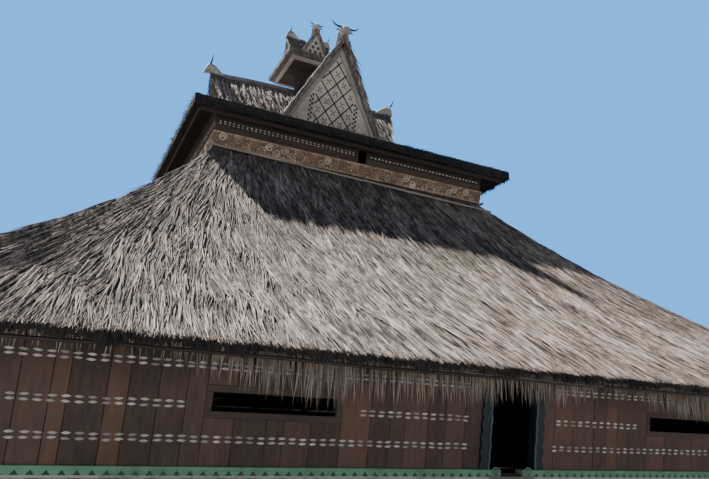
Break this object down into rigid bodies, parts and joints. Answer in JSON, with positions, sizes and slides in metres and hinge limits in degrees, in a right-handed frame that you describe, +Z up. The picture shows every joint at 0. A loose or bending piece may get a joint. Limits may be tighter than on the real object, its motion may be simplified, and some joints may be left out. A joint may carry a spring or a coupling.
{
  "type": "karo batak house",
  "caption": "Large timber house on posts with leaning plank walls, a concave hipped thatch roof, a crossing gable roof and a small tower on top.",
  "frame": {"origin": "on the ground under the middle of the house", "axes": "+Z up, -Y towards the front doorway, +X to the right seen from the front"},
  "size_m": [17.52, 21.1, 15.0009],
  "materials": {
    "post": "weathered round hardwood",
    "sill": "carved and painted beam",
    "strip": "green painted board with dark triangles",
    "beam": "rough hewn timber",
    "floor": "worn planks",
    "board": "dark brown planks with white rope stitches",
    "frame": "dark blue green paint",
    "thatch": "weathered palm fibre and grass thatch",
    "band": "carved board, ochre and cream with red and black",
    "bamboo": "woven split bamboo in a diamond pattern",
    "ridge": "weathered grey boards and pale carved heads",
    "tower": "dark reddish brown boards"
  },
  "bodies": {
    "root": {"post_row_1": "post", "post_row_2": "post", "post_row_3": "post", "post_row_4": "post", "post_row_5": "post", "sill_front": "sill", "sill_back": "sill", "sill_left": "sill", "sill_right": "sill", "painted_strip_front": "strip", "painted_strip_back": "strip", "painted_strip_left": "strip", "painted_strip_right": "strip", "floor_frame": "beam", "floor_boards": "floor", "front_wall_left": "board", "front_wall_right": "board", "front_wall_over_door": "board", "back_wall_left": "board", "back_wall_right": "board", "back_wall_over_door": "board", "side_wall_left": "board", "side_wall_right": "board", "door_frame_front": "frame", "door_frame_back": "frame", "wall_plate": "beam", "roof_ring": "beam", "rafters_front": "beam", "rafters_back": "beam", "rafters_left": "beam", "rafters_right": "beam", "thatch_front": "thatch", "thatch_back": "thatch", "thatch_left": "thatch", "thatch_right": "thatch", "upper_eave_thatch": "thatch", "drum_boards_front": "board", "drum_boards_back": "board", "drum_boards_left": "board", "drum_boards_right": "board", "carved_band": "band", "gable_thatch_front": "thatch", "gable_thatch_back": "thatch", "gable_thatch_left": "thatch", "gable_thatch_right": "thatch", "gable_panel_front": "bamboo", "gable_panel_back": "bamboo", "gable_panel_left": "bamboo", "gable_panel_right": "bamboo", "ridge_front": "ridge", "ridge_back": "ridge", "ridge_left": "ridge", "ridge_right": "ridge", "tower_body": "tower", "tower_soffit": "tower", "tower_frame": "ridge", "tower_roof": "thatch", "tower_ridge": "ridge"}
  },
  "joints": []
}
